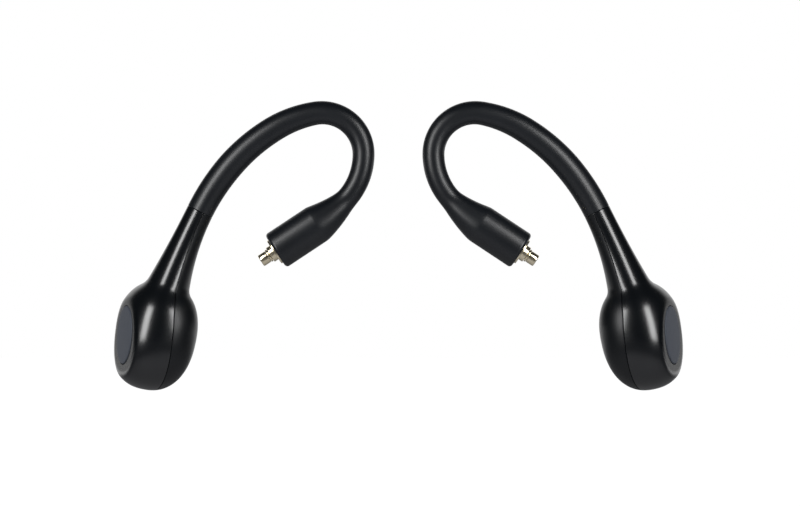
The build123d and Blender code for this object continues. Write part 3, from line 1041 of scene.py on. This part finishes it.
@dataclass
class Studio:
    """White ground, two tall soft lamps, a quiet world and the main camera. Metres."""

    lamp_place: tuple[float, float, float] = (0.112, -0.118, 0.028)
    lamp_aim: tuple[float, float, float] = (0.0, 0.0, -0.035)
    lamp_size: tuple[float, float] = (0.052, 0.125)
    lamp_power: float = 0.19
    world_strength: float = 0.2
    front_glow: float = 0.03
    back_from: float = 0.60
    back_to: float = 0.95
    floor_level: float = -0.118
    floor_half: float = 3.0
    floor_lift: float = 0.95
    floor_shade: tuple[float, float, float] = (0.52, 0.52, 0.54)
    floor_white: tuple[float, float] = (0.15, 0.6)
    camera_place: tuple[float, float, float] = (0.0003, -0.889, -0.0255)
    lens: float = 200.0

    def build(self) -> None:
        """Make the camera, the lamps, the world and the floor."""
        scene = bpy.context.scene
        scene.view_settings.view_transform = "Standard"
        data = bpy.data.cameras.new("main_camera")
        data.lens = self.lens
        data.sensor_width = 36.0
        data.clip_start, data.clip_end = 0.01, 20.0
        camera = bpy.data.objects.new("main_camera", data)
        camera.location = self.camera_place
        camera.rotation_euler = (math.pi / 2.0, 0.0, 0.0)
        scene.collection.objects.link(camera)
        scene.camera = camera
        for side in (-1.0, 1.0):
            self._lamp(side)
        self._world()
        self._floor()

    def _lamp(self, side: float) -> None:
        """Add one soft lamp, on the given side of the plane X = 0."""
        data = bpy.data.lights.new("soft_lamp", "AREA")
        data.shape = "RECTANGLE"
        data.size, data.size_y = self.lamp_size
        data.energy = self.lamp_power
        lamp = bpy.data.objects.new("soft_lamp", data)
        place = Vector((side * self.lamp_place[0], *self.lamp_place[1:]))
        lamp.location = place
        lamp.rotation_euler = (Vector(self.lamp_aim) - place).to_track_quat("-Z", "Y").to_euler()
        lamp.visible_camera = False
        bpy.context.scene.collection.objects.link(lamp)

    def _world(self) -> None:
        """Fill light for matt surfaces and a white backdrop, with the dim room before it in mirrors."""
        world = bpy.data.worlds.new("studio")
        world.use_nodes = True
        tree = world.node_tree
        back = tree.nodes["Background"]
        back.inputs["Color"].default_value = (1.0, 1.0, 1.0, 1.0)
        room = self._along_y(tree, "Generated", (self.back_from, self.back_to), (self.front_glow, 1.0))
        strength = self._by_ray(tree, self.world_strength, 1.0, room)
        tree.links.new(strength, back.inputs["Strength"])
        bpy.context.scene.world = world

    def _along_y(
        self, tree: Tree, source: str, reach: tuple[float, float], values: tuple[float, float]
    ) -> Socket:
        """Value that runs smoothly along Y.

        Args:
            tree: The node tree to build in.
            source: Name of the coordinates to read.
            reach: Where the change starts and ends.
            values: The value before and after it.

        Returns:
            The value's socket.
        """
        where = tree.nodes.new("ShaderNodeTexCoord")
        split = tree.nodes.new("ShaderNodeSeparateXYZ")
        tree.links.new(where.outputs[source], split.inputs["Vector"])
        change = tree.nodes.new("ShaderNodeMapRange")
        change.interpolation_type = "SMOOTHSTEP"
        change.inputs["From Min"].default_value, change.inputs["From Max"].default_value = reach
        change.inputs["To Min"].default_value, change.inputs["To Max"].default_value = values
        tree.links.new(split.outputs["Y"], change.inputs["Value"])
        return change.outputs["Result"]

    def _by_ray(self, tree: Tree, plain: float, seen: float, mirrored: Socket) -> Socket:
        """Strength that depends on the kind of ray that meets it.

        Args:
            tree: The node tree to build in.
            plain: Value for diffuse and shadow rays.
            seen: Value for camera and transmission rays.
            mirrored: Socket with the value for glossy rays.

        Returns:
            The strength's socket.
        """
        path = tree.nodes.new("ShaderNodeLightPath")
        glossy = tree.nodes.new("ShaderNodeMix")
        glossy.inputs[2].default_value = plain
        tree.links.new(path.outputs["Is Glossy Ray"], glossy.inputs[0])
        tree.links.new(mirrored, glossy.inputs[3])
        direct = tree.nodes.new("ShaderNodeMath")
        direct.operation = "MAXIMUM"
        tree.links.new(path.outputs["Is Camera Ray"], direct.inputs[0])
        tree.links.new(path.outputs["Is Transmission Ray"], direct.inputs[1])
        strength = tree.nodes.new("ShaderNodeMix")
        strength.inputs[3].default_value = seen
        tree.links.new(direct.outputs[0], strength.inputs[0])
        tree.links.new(glossy.outputs[0], strength.inputs[2])
        return strength.outputs[0]

    def _floor(self) -> None:
        """Add the pale floor that takes the object's shadow."""
        half = self.floor_half
        mesh = bpy.data.meshes.new("floor")
        corners = [(-half, -half), (half, -half), (half, half), (-half, half)]
        mesh.from_pydata([(x, y, self.floor_level) for x, y in corners], [], [(0, 1, 2, 3)])
        material = bpy.data.materials.new("floor")
        material.use_nodes = True
        tree = material.node_tree
        shader = tree.nodes["Principled BSDF"]
        shader.inputs["Base Color"].default_value = (*self.floor_shade, 1.0)
        shader.inputs["Roughness"].default_value = 1.0
        shader.inputs["Specular IOR Level"].default_value = 0.0
        shader.inputs["Emission Color"].default_value = (1.0, 1.0, 1.0, 1.0)
        far = self._along_y(tree, "Object", self.floor_white, (0.0, self.floor_lift))
        strength = self._by_ray(tree, 0.0, self.floor_lift, far)
        tree.links.new(strength, shader.inputs["Emission Strength"])
        mesh.materials.append(material)
        floor = bpy.data.objects.new("floor", mesh)
        bpy.context.scene.collection.objects.link(floor)


def main() -> None:
    """Load the frame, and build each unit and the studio."""
    logging.basicConfig(level=logging.INFO, format="%(name)s %(message)s")
    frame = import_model()
    FramePieces(frame["nodes"]).build()
    pod, line = PodFrame(), HookLine()
    for side in Side:
        PodShells(side, pod, line).build()
        Button(side, pod).build()
        Hook(side, line).build()
        Plug(side, line).build()
    Studio().build()


if __name__ == "__main__":
    main()
